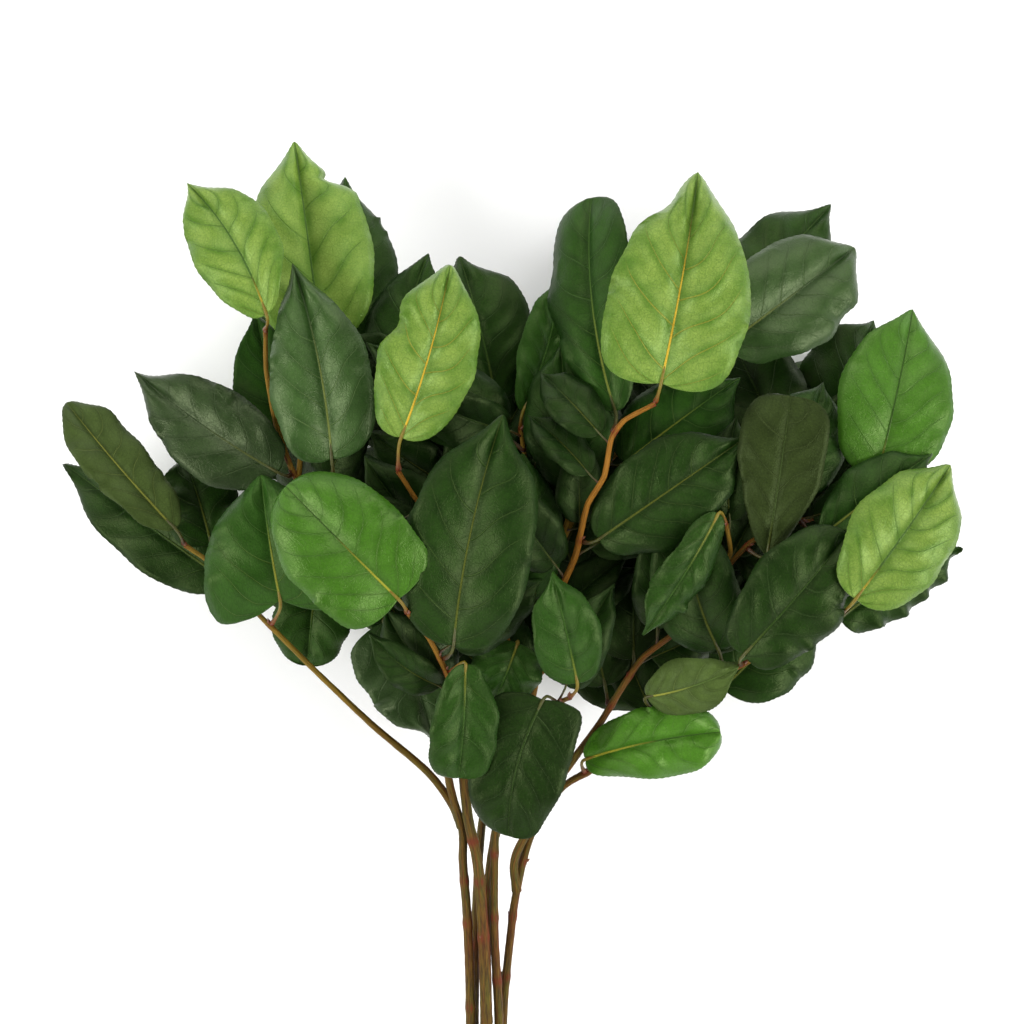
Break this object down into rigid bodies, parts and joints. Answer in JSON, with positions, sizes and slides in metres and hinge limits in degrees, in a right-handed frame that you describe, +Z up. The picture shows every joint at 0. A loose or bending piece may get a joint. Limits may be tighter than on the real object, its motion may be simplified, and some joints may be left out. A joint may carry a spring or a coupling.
{
  "type": "preserved salal bunch",
  "caption": "Tied bunch of leafy woody twigs lying down: bare cut stems gathered in a band of twine, fanning out into broad leathery oval green leaves.",
  "frame": {"origin": "middle of the bounding box's underside, on the surface that the bunch lies on", "axes": "+Z up from the surface, +Y from the cut stem ends towards the leaf tips, +X to the right when looking along +Y with +Z up"},
  "size_m": [0.3842, 0.4832, 0.1185],
  "materials": {
    "bark": "thin woody twig bark, olive brown with reddish nodes, satin",
    "twine": "plain natural jute twine, matt",
    "leaf_dark": "preserved leathery leaf, dark green, semi-gloss upper side",
    "leaf_grey": "preserved leathery leaf, dark grey-green with a broad sheen",
    "leaf_mid": "preserved leathery leaf, middle green, semi-gloss",
    "leaf_bright": "preserved leathery leaf, bright green, semi-gloss",
    "leaf_light": "preserved leathery leaf, light yellow-green, silky",
    "leaf_olive": "preserved leathery leaf, olive green, semi-gloss",
    "leaf_under": "preserved leathery leaf at the underside of the bunch, dark green"
  },
  "bodies": {
    "root": {"stem_left": "bark", "stem_upper_left": "bark", "stem_middle": "bark", "stem_right": "bark", "stem_far_right": "bark", "stem_under": "bark", "tie": "twine", "under_leaf_1": "leaf_under", "under_leaf_2": "leaf_under", "under_leaf_3": "leaf_under", "under_leaf_4": "leaf_under", "under_leaf_5": "leaf_under", "under_leaf_6": "leaf_under", "under_leaf_7": "leaf_under", "under_leaf_8": "leaf_under", "under_leaf_9": "leaf_mid", "long_left_leaf_1": "leaf_dark", "long_left_leaf_2": "leaf_dark", "upper_left_leaf_1": "leaf_dark", "upper_left_leaf_4": "leaf_dark", "far_right_leaf_1": "leaf_dark", "right_upper_leaf_1": "leaf_dark", "right_side_leaf_1": "leaf_dark", "upper_left_leaf_2": "leaf_grey", "middle_leaf_1": "leaf_dark", "middle_leaf_2": "leaf_dark", "upper_left_leaf_3": "leaf_light", "far_right_leaf_2": "leaf_dark", "far_right_leaf_3": "leaf_mid", "right_side_leaf_4": "leaf_dark", "long_left_leaf_4": "leaf_olive", "upper_left_leaf_5": "leaf_grey", "long_left_leaf_3": "leaf_mid", "upper_left_leaf_7": "leaf_grey", "upper_left_leaf_6": "leaf_light", "right_leaf_1": "leaf_mid", "right_side_leaf_10": "leaf_dark", "right_side_leaf_9": "leaf_dark", "right_upper_leaf_3": "leaf_dark", "right_leaf_2": "leaf_dark", "middle_leaf_3": "leaf_mid", "right_leaf_3": "leaf_dark", "right_front_leaf_1": "leaf_dark", "right_front_leaf_2": "leaf_dark", "right_upper_leaf_2": "leaf_grey", "right_side_leaf_2": "leaf_bright", "right_side_leaf_3": "leaf_dark", "right_side_leaf_5": "leaf_dark", "right_side_leaf_6": "leaf_mid", "right_side_leaf_7": "leaf_olive", "right_side_leaf_8": "leaf_olive", "far_right_leaf_5": "leaf_dark", "far_right_leaf_4": "leaf_light", "right_short_leaf_1": "leaf_dark", "front_left_leaf_1": "leaf_mid", "right_short_leaf_2": "leaf_mid", "front_left_leaf_2": "leaf_dark", "front_left_leaf_3": "leaf_bright", "middle_leaf_4": "leaf_light", "right_front_leaf_3": "leaf_light"}
  },
  "joints": []
}
